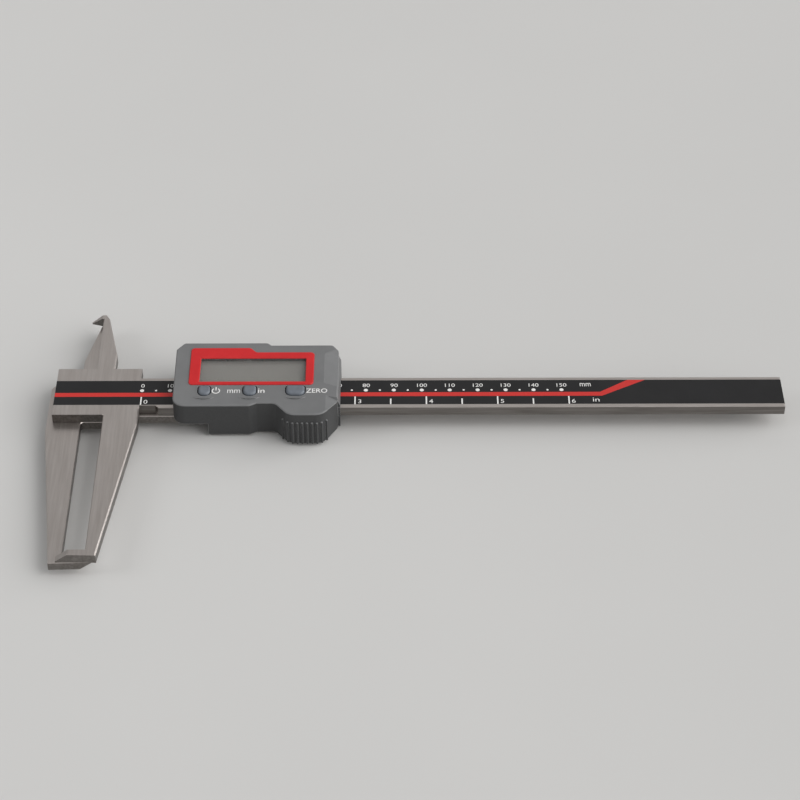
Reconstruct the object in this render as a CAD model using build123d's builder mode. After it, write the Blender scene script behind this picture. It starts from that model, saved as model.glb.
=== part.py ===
from build123d import *
import math
import os

os.makedirs("parts", exist_ok=True)

# Digital caliper for inside grooves, closed, lying on its rear cover. Millimetres.
# Drawing coordinates: x from the scale's zero mark, y from the beam's centre line and
# z from the beam's printed face. DATUM is where that drawing origin stands in the model.
DATUM = Vector(-97.9, 18.9, 9.6)

# Cutting shapes reach PAST beyond the faces they cut, or OVERCUT where they end on an edge.
# FAR is wider than the whole housing.
PAST = 1.0
OVERCUT = 0.02
FAR = 60.0

# Beam and fixed head
BEAM_WIDTH = 16.0
BEAM_EDGE = BEAM_WIDTH / 2
BEAM_END = 229.0
PLATE_THICK = 3.7
HEAD_LEFT = -31.0
HEAD_RIGHT = -0.8
HEAD_TOP = 13.3
HEAD_BOTTOM = -11.4
FLANK_BREAK = 0.45
FINE_BREAK = 0.25
FLANK_NEAR = 1.0
LABEL_DEPTH = 0.4
LABEL_FILM = 0.15
LABEL_LOW = -6.45
LABEL_HIGH = 6.5
RELIEF_END = 6.4
RELIEF_DEPTH = 1.2

# Jaws: the fixed pair lies in the beam's plane, the moving pair in the plane behind it
JAW_FOOT = -81.4
JAW_THROAT = -78.5
HOOK_TOP = 43.6
HOOK_TIP = -21.9
HOOK_LENGTH = 5.0
MOVING_HOOK_TIP = -15.3
FIXED_TIP = -22.9
MOVING_TIP = -10.8
FIXED_THROAT = -12.83
MOVING_THROAT = -21.1
THROAT_RADIUS = 1.2
TIP_THICK = 0.3
FOOT_BEVEL = 4.5
HOOK_BEVEL = 4.2
MOVING_HOOK_BEVEL = 0.8
NIB_CUT = 6.0

# Moving plate
SLIDE_GAP = 0.1
MOVING_TOP = -PLATE_THICK - SLIDE_GAP
MOVING_BOTTOM = -7.2
MOVING_LEFT = -33.2
MOVING_SHOULDER = 8.2
MOVING_HEEL = -16.0
SHOULDER_RADIUS = 2.0
HEEL_RADIUS = 4.0
TAIL_HALF = 8.3
WING_START = 25.6
WING_END = 68.4
WING_FRONT = -9.7
WING_BACK = 10.9
TRAVEL = 138.0

# Guide rails and gib
RUN_FIT = 0.06
RAIL_START = 26.0
RAIL_END = 67.9
RAIL_TOP = 1.0
LIP_REACH = 6.9
GIB_THICK = 0.84
GIB_SHORT = 0.5
GIB_UNDER = 0.15
GIB_SCREW_X = (38.0, 48.0)
GIB_SCREW_RADIUS = 0.7
GIB_SCREW_PROUD = 0.3
GIB_SLOT_HALF = 0.15
GIB_SLOT_DEPTH = 0.2

# Housing
HOUSING_TOP = 5.0
HOUSING_BOTTOM = -8.6
HOUSING_RIGHT = 69.7
STEP_X = 24.1
STEP_BOTTOM = -PLATE_THICK
STEP_FLOOR = 1.0
WALL = 1.2
CEILING = 3.8
SKIRT = 0.5
TOP_BEVEL = 0.3
TOP_BEVEL_IN = 0.35
CAVITY_RIGHT = 68.9
CORNER_FILL = ((66.4, 68.95), (-9.5, 16.3), (2.0, 4.2))
PASSAGE_HALF = 8.35
PASSAGE_TOP = 0.35
PASSAGE_FLOOR = -7.4
PASSAGE_UNDER = 0.15
CLEAR = 0.05
COVER_THICK = 1.0
COVER_INSET = 0.1
COVER_BEVEL = 0.3
COVER_START = STEP_X + 0.5
STANDOFF_RADIUS = 2.0
# Slanting pad low on the right wall: (x, z) profile and y limits
PAD_PROFILE = ((69.5, 3.2), (70.2, 3.2), (71.0, 1.2), (71.0, HOUSING_BOTTOM), (69.5, HOUSING_BOTTOM))
PAD_END = max(x for x, z in PAD_PROFILE)
PAD_Y = (-8.4, 16.4)
GRIP_FRONT = -16.9
GRIP_CORNERS = ((48.2, -10.7), (53.2, GRIP_FRONT), (64.8, GRIP_FRONT), (69.6, -9.2))
GRIP_RADII = (3.5, 4.5, 5.0, 5.0)
RIB_COUNT = 10
RIB_FIRST = 50.75
RIB_PITCH = 1.73
RIB_RADIUS = 0.36
RIB_STAND = 0.2
RIB_TOP = 1.2
RIB_DROP = 0.3
RIB_ROUNDING = 0.9

# Display
WINDOW_X = (20.8, 58.5)
WINDOW_Y = (0.05, 12.75)
BEZEL_SEAT = 4.9
BEZEL_TOP = 5.35
BEZEL_BEVEL = 0.2
BEZEL_CORNER = 1.4
WINDOW_RIM = 1.0
WINDOW_TOP = 4.5
BOARD_THICK = 0.8
BOARD_TOP = RAIL_TOP + BOARD_THICK
BOARD_X = (15.4, 66.0)
BOARD_Y = (-9.5, 13.5)
BOARD_CORNER = 1.0
SENSOR_X = (28.0, 64.0)
SENSOR_Y = (-6.4, 6.4)
SENSOR_BOTTOM = 0.3
CHIP_X = (28.2, 33.6)
CHIP_Y = (-8.0, -3.4)
CHIP_HEIGHT = 1.0
CHIP_BEVEL = 0.2
CRYSTAL_X = (44.0, 49.0)
CRYSTAL_Y = (-6.0, -4.4)
CRYSTAL_HEIGHT = 1.4
CRYSTAL_ROUND = 0.5
LCD_BACK = ((19.8, 59.4), (-0.6, 13.5), (2.4, 3.0))
LCD_FRONT = ((20.2, 59.0), (-0.2, 13.1), (3.0, 3.5))
STRIP_X = (20.6, 58.6)
STRIP_LOWS = (-0.4, 12.3)
STRIP_WIDTH = 1.0

# Buttons: left edge and width of each
BUTTONS = {"power_button": (20.7, 4.2), "unit_button": (36.6, 4.6), "zero_button": (51.8, 6.6)}
BUTTON_BACK = -2.2
BUTTON_FRONT = -7.15
BUTTON_TOP = 5.75
BUTTON_GAP = 0.4
BUTTON_TRAVEL = 0.5
BUTTON_SPARE = 0.1
BUTTON_FLANGE = 0.75
BUTTON_ROUND = 0.9
BUTTON_FRONT_RADIUS = 2.0
BUTTON_BACK_RADIUS = 1.1
DOME_HEIGHT = 0.3
DOME_RADIUS = 1.7
DOME_BEVEL = 0.15

# Guard in front of each button: a low ramp that rises from the hole to a curved front edge
GUARD_BACK = -7.95
GUARD_FRONT = -9.3
GUARD_RISE = 0.45
GUARD_SWEEP = 6.4
GUARD_MARGIN = 1.3

# Lock screw, in line with the middle of the beam's back edge
LOCK_X = 57.0
LOCK_Z = -PLATE_THICK / 2
LOCK_HEAD_RADIUS = 2.4
LOCK_HEAD = (20.7, 24.5)
LOCK_HEAD_BEVEL = 0.3
LOCK_SHANK_RADIUS = 1.0
LOCK_SHANK_START = 9.25
PAD_RADIUS = 1.25
LOCK_PAD_Y = (8.2, 9.1)
LOCK_PAD_BEVEL = 0.15
KNURL_COUNT = 24
KNURL_RADIUS = 0.16

# Button cell and its cap, axis along y
CELL_X = 35.8
CELL_Z = -2.1
CELL_RADIUS = 5.8
CELL_Y = (14.4, 19.8)
CELL_STEP = 0.8
CELL_LIP = 1.1
CELL_ROUND = 0.3
CAP_PLUG_RADIUS = 5.8
CAP_FLANGE_RADIUS = 6.1
CAP_Y = (20.05, 21.78, 22.3)
CAP_BEVEL = 0.2
CAP_SLOT_HALF = (4.0, 0.6)
CAP_SLOT_DEPTH = 0.8
SEAL_Y = (20.5, 21.1)
SEAL_DEPTH = 0.6
SEAL_FIT = 0.02
SEAL_ROUND = 0.2

# Contact springs as x, y and z limits: leaf and bump at the cell's end, then at its rim
CONTACTS = (
    ((32.8, 38.8), (13.95, 14.2), (-5.1, 0.8)), ((34.8, 36.8), (14.2, 14.4), (-4.1, -1.1)),
    ((42.95, 43.2), (15.6, 19.4), (-5.1, 0.9)), ((41.65, 42.95), (17.0, 18.0), (-2.7, -1.5)),
)

# Screws: shank radius and head radius
COVER_SCREW = (0.8, 1.5)
RAIL_SCREW = (0.45, 0.8)
BOARD_SCREW = (0.5, 0.9)
STOP_SCREW = (0.8, 1.5)
HEAD_HEIGHT = 0.7
HEAD_SUNK = 0.1
HOLE_SPARE = 0.2
DRIVE_SLOT = 0.4
FINE_DRIVE_SLOT = 0.25
DRIVE_REACH = 0.8
BOSS_RADIUS = 1.8
BOARD_BOSS_RADIUS = 1.3
HOUSING_SCREW_TIP = 0.8
PLATE_SCREW_TIP = -4.6
RAIL_SCREW_TIP = -1.2
BOARD_SCREW_TIP = 3.2
STOP_SCREW_TIP = -1.4
HOUSING_BOSSES = ((27.7, 16.3), (66.0, 15.7), (54.4, -13.0), (63.6, -13.0))
PLATE_SCREWS = ((30.0, -5.5), (30.0, 5.5), (65.0, -5.5), (65.0, 5.5))
RAIL_SCREWS = ((31.0, -8.9), (63.0, -8.9), (31.0, 9.95), (63.0, 9.95))
BOARD_SCREWS = ((17.2, -8.2), (17.2, 11.8), (63.6, 11.9))
STOP_GAP = 0.8
STOP_START = PAD_END + TRAVEL + STOP_GAP
STOP_LENGTH = 5.0
STOP_HALF = 5.0
STOP_BOTTOM = -5.9
STOP_BEVEL = 0.4
STOP_SCREWS = ((STOP_START + STOP_LENGTH / 2, -2.8), (STOP_START + STOP_LENGTH / 2, 2.8))


def level(z):
    """A plane parallel to the beam's face, at height z."""
    return Plane(origin=DATUM + Vector(0, 0, z))


def across(y):
    """A plane square to y: sketch x is x and sketch y is z, extruding towards -y."""
    return Plane(origin=DATUM + Vector(0, y, 0), x_dir=(1, 0, 0), z_dir=(0, -1, 0))


def facing(x):
    """A plane square to x: sketch x is y and sketch y is z, extruding towards +x."""
    return Plane(origin=DATUM + Vector(x, 0, 0), x_dir=(0, 1, 0), z_dir=(1, 0, 0))


def slab(x_span, y_span, z_span, mode=Mode.ADD):
    """A rectangular block between the given limits."""
    spans = (x_span, y_span, z_span)
    middle = Vector(*[sum(span) / 2 for span in spans])
    with Locations(DATUM + middle):
        return Box(*[span[1] - span[0] for span in spans], mode=mode)


def upright(spots, z_span, radius, mode=Mode.ADD):
    """Round posts or holes along z at the given (x, y) spots."""
    middle = sum(z_span) / 2
    with Locations(*[DATUM + Vector(x, y, middle) for x, y in spots]):
        return Cylinder(radius, z_span[1] - z_span[0], mode=mode)


def crosswise(spots, y_span, radius, mode=Mode.ADD):
    """Round posts or holes along y at the given (x, z) spots."""
    middle = sum(y_span) / 2
    with Locations(*[DATUM + Vector(x, middle, z) for x, z in spots]):
        return Cylinder(radius, y_span[1] - y_span[0], rotation=(90, 0, 0), mode=mode)


def finish(piece, name):
    """Label a finished piece and write it."""
    piece.part.label = name
    export_step(piece.part, f"parts/{name}.step")


# ---------------------------------------------------------------- beam and its trim

# Right-hand flanks of the fixed jaws, upwards
JAW_FLANK = ((-9.2, JAW_FOOT), (-0.4, -16.3), (-0.4, -BEAM_EDGE))
NIB_FLANK = ((-10.65, HEAD_TOP), (-10.46, 20.8), (-15.0, 41.5))

FIXED_OUTLINE = (
    (HEAD_LEFT, HEAD_BOTTOM), (FIXED_THROAT, HEAD_BOTTOM), (FIXED_THROAT, JAW_THROAT),
    (FIXED_TIP, JAW_THROAT - 0.1), (FIXED_TIP, JAW_FOOT + 0.4), *JAW_FLANK,
    (BEAM_END, -BEAM_EDGE), (BEAM_END, BEAM_EDGE), (HEAD_RIGHT, BEAM_EDGE), (HEAD_RIGHT, HEAD_TOP),
    *NIB_FLANK, (-16.2, HOOK_TOP), (-17.9, HOOK_TOP),
    (HOOK_TIP, HOOK_TOP - 0.1), (HOOK_TIP, HOOK_TOP - 0.7), (-17.2, HOOK_TOP - 2.1),
    (-17.2, HEAD_TOP), (HEAD_LEFT, HEAD_TOP),
)

flank_middles = [
    DATUM + (Vector(*start) + Vector(*end)) / 2
    for flank in (JAW_FLANK, NIB_FLANK) for start, end in zip(flank, flank[1:])
]


def is_flank(edge):
    """Whether a top edge lies along one of the fixed jaws' flanks."""
    return min((edge.center() - middle).length for middle in flank_middles) < FLANK_NEAR


with BuildPart() as beam:
    with BuildSketch(level(-PLATE_THICK)):
        with BuildLine():
            Polyline(*FIXED_OUTLINE, close=True)
        make_face()
    extrude(amount=PLATE_THICK)
    # Rounded inner corner where the jaw leaves the head
    throat_corner = DATUM + Vector(FIXED_THROAT, HEAD_BOTTOM, -PLATE_THICK / 2)
    fillet(beam.edges().filter_by(Axis.Z).sort_by_distance(throat_corner)[0], THROAT_RADIUS / 2)
    # Broken top edges: wide on the flanks, fine elsewhere, and none on the slender hook
    hook_tip = DATUM + Vector(HOOK_TIP, HOOK_TOP, 0)
    top_edges = beam.faces().sort_by(Axis.Z)[-1].outer_wire().edges()
    chamfer(top_edges.filter_by(is_flank), FLANK_BREAK)
    top_edges = beam.faces().sort_by(Axis.Z)[-1].outer_wire().edges()
    away_from_hook = top_edges.filter_by(lambda edge: (edge.center() - hook_tip).length > HOOK_LENGTH)
    chamfer(away_from_hook.filter_by(lambda edge: not is_flank(edge)), FINE_BREAK)
    # The nibs thin down to an edge in the plane shared with the moving jaw
    for y_high, tip, bevel in (
        (JAW_THROAT + PAST, FIXED_TIP, FOOT_BEVEL), (HOOK_TOP + PAST, HOOK_TIP, HOOK_BEVEL),
    ):
        with BuildSketch(across(y_high)):
            with BuildLine():
                Polyline(
                    (tip + bevel, OVERCUT), (tip - PAST, OVERCUT),
                    (tip - PAST, TIP_THICK - PLATE_THICK),
                    (tip, TIP_THICK - PLATE_THICK), close=True,
                )
            make_face()
        extrude(amount=NIB_CUT, mode=Mode.SUBTRACT)
    # Shallow bed for the scale, open at both ends
    slab((HEAD_LEFT - PAST, BEAM_END + PAST), (LABEL_LOW, LABEL_HIGH), (-LABEL_DEPTH, PAST), Mode.SUBTRACT)
    # Relief in the front edge beside the jaw, with a slanted end
    with BuildSketch(level(-PLATE_THICK - PAST)):
        with BuildLine():
            Polyline(
                (JAW_FLANK[-1][0], -BEAM_EDGE - PAST), (JAW_FLANK[-1][0], RELIEF_DEPTH - BEAM_EDGE),
                (RELIEF_END - RELIEF_DEPTH, RELIEF_DEPTH - BEAM_EDGE),
                (RELIEF_END, -BEAM_EDGE), (RELIEF_END, -BEAM_EDGE - PAST), close=True,
            )
        make_face()
    extrude(amount=PLATE_THICK + 2 * PAST, mode=Mode.SUBTRACT)
    upright(
        STOP_SCREWS, (-PLATE_THICK - PAST, STOP_SCREW_TIP + HOLE_SPARE), STOP_SCREW[0], Mode.SUBTRACT,
    )
finish(beam, "beam")

with BuildPart() as scale_grating:
    slab((HEAD_LEFT, BEAM_END), (LABEL_LOW, LABEL_HIGH), (-LABEL_DEPTH, -LABEL_FILM))
finish(scale_grating, "scale_grating")

with BuildPart() as scale_label:
    slab((HEAD_LEFT, BEAM_END), (LABEL_LOW, LABEL_HIGH), (-LABEL_FILM, 0))
finish(scale_label, "scale_label")

with BuildPart() as end_stop:
    slab((STOP_START, STOP_START + STOP_LENGTH), (-STOP_HALF, STOP_HALF), (STOP_BOTTOM, -PLATE_THICK))
    chamfer(end_stop.faces().sort_by(Axis.Z)[0].outer_wire().edges(), STOP_BEVEL)
    upright(STOP_SCREWS, (STOP_BOTTOM - PAST, -PLATE_THICK + PAST), STOP_SCREW[0], Mode.SUBTRACT)
    upright(STOP_SCREWS, (STOP_BOTTOM - PAST, STOP_BOTTOM + HEAD_HEIGHT), STOP_SCREW[1], Mode.SUBTRACT)
finish(end_stop, "end_stop")


def cap_screws(spots, seat, tip, sizes, slot):
    """Screws with the head below: head from seat - HEAD_HEIGHT to seat, shank up to tip."""
    upright(spots, (seat, tip), sizes[0])
    upright(spots, (seat - HEAD_HEIGHT, seat), sizes[1])
    for x, y in spots:
        half = sizes[1] * DRIVE_REACH
        for x_half, y_half in ((half, slot / 2), (slot / 2, half)):
            slab(
                (x - x_half, x + x_half), (y - y_half, y + y_half),
                (seat - HEAD_HEIGHT - PAST, seat - HEAD_HEIGHT / 2), Mode.SUBTRACT,
            )


with BuildPart() as end_stop_screws:
    cap_screws(STOP_SCREWS, STOP_BOTTOM + HEAD_HEIGHT, STOP_SCREW_TIP, STOP_SCREW, DRIVE_SLOT)
finish(end_stop_screws, "end_stop_screws")

# ---------------------------------------------------------------- moving jaw plate

MOVING_OUTLINE = (
    (MOVING_LEFT, MOVING_SHOULDER), (MOVING_LEFT, MOVING_HEEL), (-25.4, JAW_FOOT),
    (MOVING_TIP, JAW_FOOT + 0.4), (MOVING_TIP, JAW_THROAT - 0.1),
    (MOVING_THROAT, JAW_THROAT), (MOVING_THROAT, HEAD_BOTTOM), (-2.7, HEAD_BOTTOM),
    (-2.7, -TAIL_HALF), (WING_START, -TAIL_HALF), (WING_START, WING_FRONT),
    (WING_END, WING_FRONT), (WING_END, WING_BACK), (WING_START, WING_BACK),
    (WING_START, TAIL_HALF), (-10.85, TAIL_HALF), (-16.5, 13.3),
    (-16.5, HOOK_TOP - 2.1), (MOVING_HOOK_TIP, HOOK_TOP - 1.7), (MOVING_HOOK_TIP, HOOK_TOP - 0.2),
    (-16.0, HOOK_TOP), (-17.4, HOOK_TOP), (-18.3, 41.6), (-22.75, 22.0), (-23.0, MOVING_SHOULDER),
)

with BuildPart() as moving_jaw:
    with BuildSketch(level(MOVING_BOTTOM)):
        with BuildLine():
            Polyline(*MOVING_OUTLINE, close=True)
        make_face()
    extrude(amount=MOVING_TOP - MOVING_BOTTOM)
    for corner, radius in (
        ((MOVING_THROAT, HEAD_BOTTOM), THROAT_RADIUS),
        ((MOVING_LEFT, MOVING_SHOULDER), SHOULDER_RADIUS),
        ((MOVING_LEFT, MOVING_HEEL), HEEL_RADIUS),
    ):
        spot = DATUM + Vector(*corner, MOVING_BOTTOM)
        fillet(moving_jaw.edges().filter_by(Axis.Z).sort_by_distance(spot)[0], radius)
    chamfer(moving_jaw.faces().sort_by(Axis.Z)[0].outer_wire().edges(), FINE_BREAK)
    chamfer(moving_jaw.faces().sort_by(Axis.Z)[-1].outer_wire().edges(), FINE_BREAK)
    for y_high, tip, bevel in (
        (JAW_THROAT + PAST, MOVING_TIP, FOOT_BEVEL),
        (HOOK_TOP + PAST, MOVING_HOOK_TIP, MOVING_HOOK_BEVEL),
    ):
        with BuildSketch(across(y_high)):
            with BuildLine():
                Polyline(
                    (tip - bevel, MOVING_BOTTOM - OVERCUT), (tip + PAST, MOVING_BOTTOM - OVERCUT),
                    (tip + PAST, MOVING_TOP - TIP_THICK),
                    (tip, MOVING_TOP - TIP_THICK), close=True,
                )
            make_face()
        extrude(amount=NIB_CUT, mode=Mode.SUBTRACT)
    below = MOVING_BOTTOM - PAST
    upright(RAIL_SCREWS, (below, MOVING_TOP + PAST), RAIL_SCREW[0], Mode.SUBTRACT)
    upright(RAIL_SCREWS, (below, MOVING_BOTTOM + HEAD_HEIGHT), RAIL_SCREW[1], Mode.SUBTRACT)
    upright(PLATE_SCREWS, (below, PLATE_SCREW_TIP + HOLE_SPARE), COVER_SCREW[0], Mode.SUBTRACT)
finish(moving_jaw, "moving_jaw")

# ---------------------------------------------------------------- guide rails and gib

GIB_BACK = BEAM_EDGE + RUN_FIT + GIB_THICK
GIB_SCREW_SPOTS = [(x, LOCK_Z) for x in GIB_SCREW_X]

with BuildPart() as front_rail:
    slab((RAIL_START, RAIL_END), (WING_FRONT, -BEAM_EDGE - RUN_FIT), (MOVING_TOP, RAIL_TOP))
    slab((RAIL_START, RAIL_END), (-BEAM_EDGE - RUN_FIT, -LIP_REACH), (RUN_FIT, RAIL_TOP))
    upright(RAIL_SCREWS[:2], (MOVING_TOP - PAST, RAIL_SCREW_TIP + HOLE_SPARE), RAIL_SCREW[0], Mode.SUBTRACT)
finish(front_rail, "front_rail")

with BuildPart() as back_rail:
    slab((RAIL_START, RAIL_END), (GIB_BACK + CLEAR, WING_BACK), (MOVING_TOP, RAIL_TOP))
    slab((RAIL_START, RAIL_END), (LIP_REACH, GIB_BACK + CLEAR), (RUN_FIT, RAIL_TOP))
    upright(RAIL_SCREWS[2:], (MOVING_TOP - PAST, RAIL_SCREW_TIP + HOLE_SPARE), RAIL_SCREW[0], Mode.SUBTRACT)
    crosswise(((LOCK_X, LOCK_Z),), (GIB_BACK - PAST, WING_BACK + PAST), PAD_RADIUS + CLEAR, Mode.SUBTRACT)
    crosswise(GIB_SCREW_SPOTS, (GIB_BACK, WING_BACK + PAST), GIB_SCREW_RADIUS, Mode.SUBTRACT)
finish(back_rail, "back_rail")

with BuildPart() as rail_screws:
    cap_screws(RAIL_SCREWS, MOVING_BOTTOM + HEAD_HEIGHT, RAIL_SCREW_TIP, RAIL_SCREW, FINE_DRIVE_SLOT)
finish(rail_screws, "rail_screws")

with BuildPart() as gib_strip:
    slab(
        (RAIL_START + GIB_SHORT, RAIL_END - GIB_SHORT), (BEAM_EDGE + RUN_FIT, GIB_BACK),
        (MOVING_TOP + GIB_UNDER, RUN_FIT - CLEAR),
    )
    crosswise(((LOCK_X, LOCK_Z),), (BEAM_EDGE - PAST, GIB_BACK + PAST), PAD_RADIUS + CLEAR, Mode.SUBTRACT)
finish(gib_strip, "gib_strip")

with BuildPart() as gib_screws:
    crosswise(GIB_SCREW_SPOTS, (GIB_BACK, WING_BACK + GIB_SCREW_PROUD), GIB_SCREW_RADIUS)
    for x in GIB_SCREW_X:
        slab(
            (x - GIB_SLOT_HALF, x + GIB_SLOT_HALF), (WING_BACK - GIB_SLOT_DEPTH, WING_BACK + PAST),
            (LOCK_Z - PAST, LOCK_Z + PAST), Mode.SUBTRACT,
        )
finish(gib_screws, "gib_screws")

# ---------------------------------------------------------------- electronics

with BuildPart() as sensor_board:
    slab(SENSOR_X, SENSOR_Y, (SENSOR_BOTTOM, RAIL_TOP))
finish(sensor_board, "sensor_board")

with BuildPart() as circuit_board:
    slab(BOARD_X, BOARD_Y, (RAIL_TOP, BOARD_TOP))
    chamfer(circuit_board.edges().filter_by(Axis.Z), BOARD_CORNER)
    upright(BOARD_SCREWS, (RAIL_TOP - PAST, BOARD_TOP + PAST), BOARD_SCREW[0], Mode.SUBTRACT)
finish(circuit_board, "circuit_board")

with BuildPart() as measuring_chip:
    slab(CHIP_X, CHIP_Y, (BOARD_TOP, BOARD_TOP + CHIP_HEIGHT))
    chamfer(measuring_chip.faces().sort_by(Axis.Z)[-1].edges(), CHIP_BEVEL)
finish(measuring_chip, "measuring_chip")

with BuildPart() as quartz_crystal:
    slab(CRYSTAL_X, CRYSTAL_Y, (BOARD_TOP, BOARD_TOP + CRYSTAL_HEIGHT))
    fillet(quartz_crystal.edges().filter_by(Axis.X), CRYSTAL_ROUND)
finish(quartz_crystal, "quartz_crystal")

BUTTON_SPOTS = [
    (left + width / 2, (BUTTON_BACK + BUTTON_FRONT) / 2) for left, width in BUTTONS.values()
]

with BuildPart() as key_domes:
    upright(BUTTON_SPOTS, (BOARD_TOP, BOARD_TOP + DOME_HEIGHT), DOME_RADIUS)
    chamfer(key_domes.faces().filter_by(Axis.Z).group_by(Axis.Z)[-1].edges(), DOME_BEVEL)
finish(key_domes, "key_domes")

with BuildPart() as lcd_panel:
    slab(*LCD_BACK)
    slab(*LCD_FRONT)
finish(lcd_panel, "lcd_panel")

with BuildPart() as contact_strips:
    for y_low in STRIP_LOWS:
        slab(STRIP_X, (y_low, y_low + STRIP_WIDTH), (BOARD_TOP, LCD_BACK[2][0]))
finish(contact_strips, "contact_strips")

with BuildPart() as board_screws:
    upright(BOARD_SCREWS, (RAIL_TOP, BOARD_SCREW_TIP), BOARD_SCREW[0])
    upright(BOARD_SCREWS, (RAIL_TOP - HEAD_HEIGHT, RAIL_TOP), BOARD_SCREW[1])
finish(board_screws, "board_screws")

# ---------------------------------------------------------------- display window and bezel

WINDOW_OUTER_X = (WINDOW_X[0] - WINDOW_RIM, WINDOW_X[1] + WINDOW_RIM)
WINDOW_OUTER_Y = (WINDOW_Y[0] - WINDOW_RIM, WINDOW_Y[1] + WINDOW_RIM)

with BuildPart() as lcd_window:
    slab(WINDOW_OUTER_X, WINDOW_OUTER_Y, (CEILING, WINDOW_TOP))
finish(lcd_window, "lcd_window")

BEZEL_OUTLINE = (
    (16.95, -1.62), (61.4, -1.62), (61.45, 16.05), (40.5, 16.05), (38.4, 18.48), (16.95, 18.48),
)


def bezel_face(grow):
    """The bezel's outer outline as a flat sketch, larger all round by grow."""
    with BuildSketch() as outline:
        with BuildLine():
            Polyline(*BEZEL_OUTLINE, close=True)
        make_face()
        fillet(outline.vertices(), BEZEL_CORNER)
        if grow:
            offset(amount=grow)
    return outline.sketch


with BuildPart() as display_bezel:
    with BuildSketch(level(BEZEL_SEAT)):
        add(bezel_face(0))
    extrude(amount=BEZEL_TOP - BEZEL_SEAT)
    chamfer(display_bezel.faces().sort_by(Axis.Z)[-1].outer_wire().edges(), BEZEL_BEVEL)
    slab(WINDOW_X, WINDOW_Y, (BEZEL_SEAT - PAST, BEZEL_TOP + PAST), Mode.SUBTRACT)
    chamfer(display_bezel.faces().sort_by(Axis.Z)[-1].inner_wires()[0].edges(), BEZEL_BEVEL)
finish(display_bezel, "display_bezel")

# ---------------------------------------------------------------- housing

# Corner of the outline and its radius, anticlockwise from the front left
HOUSING_OUTLINE = (
    ((12.3, -12.1), 4.0), ((38.8, -12.1), 1.0), ((41.4, -10.7), 1.5),
    *zip(GRIP_CORNERS, GRIP_RADII),
    ((HOUSING_RIGHT, 17.0), 0.8), ((67.7, 19.9), 0.8), ((45.5, 19.9), 0.8),
    ((44.2, 21.2), 0.8), ((14.6, 21.2), 0.8), ((12.1, 18.0), 0.8),
)


# Wedges cut away for the facets, as (y, z) sections at their left and right ends: one beside
# the display, and one that runs off the front of the grip
FACETS = (
    (
        (65.2, ((-0.3, 4.98), (15.3, 4.98), (18.9, 6.2), (-1.5, 6.2))),
        (71.5, ((-1.2, 3.0), (15.4, 3.0), (20.5, 6.2), (-4.4, 6.2))),
    ),
    (
        (66.0, ((-20.0, 4.98), (-7.3, 4.98), (-6.7, 6.2), (-20.0, 6.2))),
        (71.5, ((-20.0, 3.3), (-9.6, 3.3), (-7.6, 6.2), (-20.0, 6.2))),
    ),
)


def housing_face(grow):
    """The housing's outline as a flat sketch, larger all round by grow."""
    with BuildSketch() as outline:
        with BuildLine():
            Polyline(*[corner for corner, radius in HOUSING_OUTLINE], close=True)
        make_face()
        for corner, radius in HOUSING_OUTLINE:
            fillet(outline.vertices().sort_by_distance(Vector(*corner))[0], radius)
        offset(amount=grow)
    return outline.sketch


def button_face(left, width, grow):
    """A button's plan: square at the back, round at the front, larger all round by grow."""
    with BuildSketch() as outline:
        with Locations((left + width / 2, (BUTTON_BACK + BUTTON_FRONT) / 2)):
            Rectangle(width, BUTTON_BACK - BUTTON_FRONT)
        fillet(outline.vertices().group_by(Axis.Y)[0], BUTTON_FRONT_RADIUS)
        fillet(outline.vertices().group_by(Axis.Y)[-1], BUTTON_BACK_RADIUS)
        if grow:
            offset(amount=grow)
    return outline.sketch


def rib_line(x):
    """The y of a rib's middle at x, just proud of the grip's wall."""
    with BuildSketch() as strip:
        add(housing_face(SKIRT + RIB_STAND))
        with Locations((x, GRIP_FRONT)):
            Rectangle(OVERCUT, BEAM_WIDTH, mode=Mode.INTERSECT)
    return strip.sketch.bounding_box().min.Y


def guard(left, width):
    """The ramp in front of a button, with a curved front edge that fades out at its ends."""
    middle = left + width / 2
    half = width / 2 + GUARD_MARGIN
    with BuildPart() as ramp:
        with BuildSketch(facing(middle - half)):
            with BuildLine():
                Polyline(
                    (GUARD_BACK, HOUSING_TOP - TOP_BEVEL), (GUARD_BACK, HOUSING_TOP),
                    (GUARD_FRONT, HOUSING_TOP + GUARD_RISE), (GUARD_FRONT, HOUSING_TOP - TOP_BEVEL),
                    close=True,
                )
            make_face()
        extrude(amount=2 * half)
        with Locations(DATUM + Vector(middle, GUARD_FRONT + GUARD_SWEEP, HOUSING_TOP)):
            Cylinder(GUARD_SWEEP, 2 * PAST, mode=Mode.INTERSECT)
    return ramp.part


# Ribs on the thumb grip, round at the top and lower towards its ends
with BuildPart() as ribs:
    for index in range(RIB_COUNT):
        rib_x = RIB_FIRST + index * RIB_PITCH
        rib_y = rib_line(rib_x)
        from_middle = 2 * index / (RIB_COUNT - 1) - 1
        rib_top = RIB_TOP - RIB_DROP * from_middle ** 2
        upright(((rib_x, rib_y),), (HOUSING_BOTTOM, rib_top), RIB_RADIUS)
        top_rims = ribs.edges().filter_by(GeomType.CIRCLE)
        top_rim = top_rims.sort_by_distance(DATUM + Vector(rib_x, rib_y, rib_top))[0]
        fillet(top_rim, RIB_RADIUS * RIB_ROUNDING)

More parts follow.
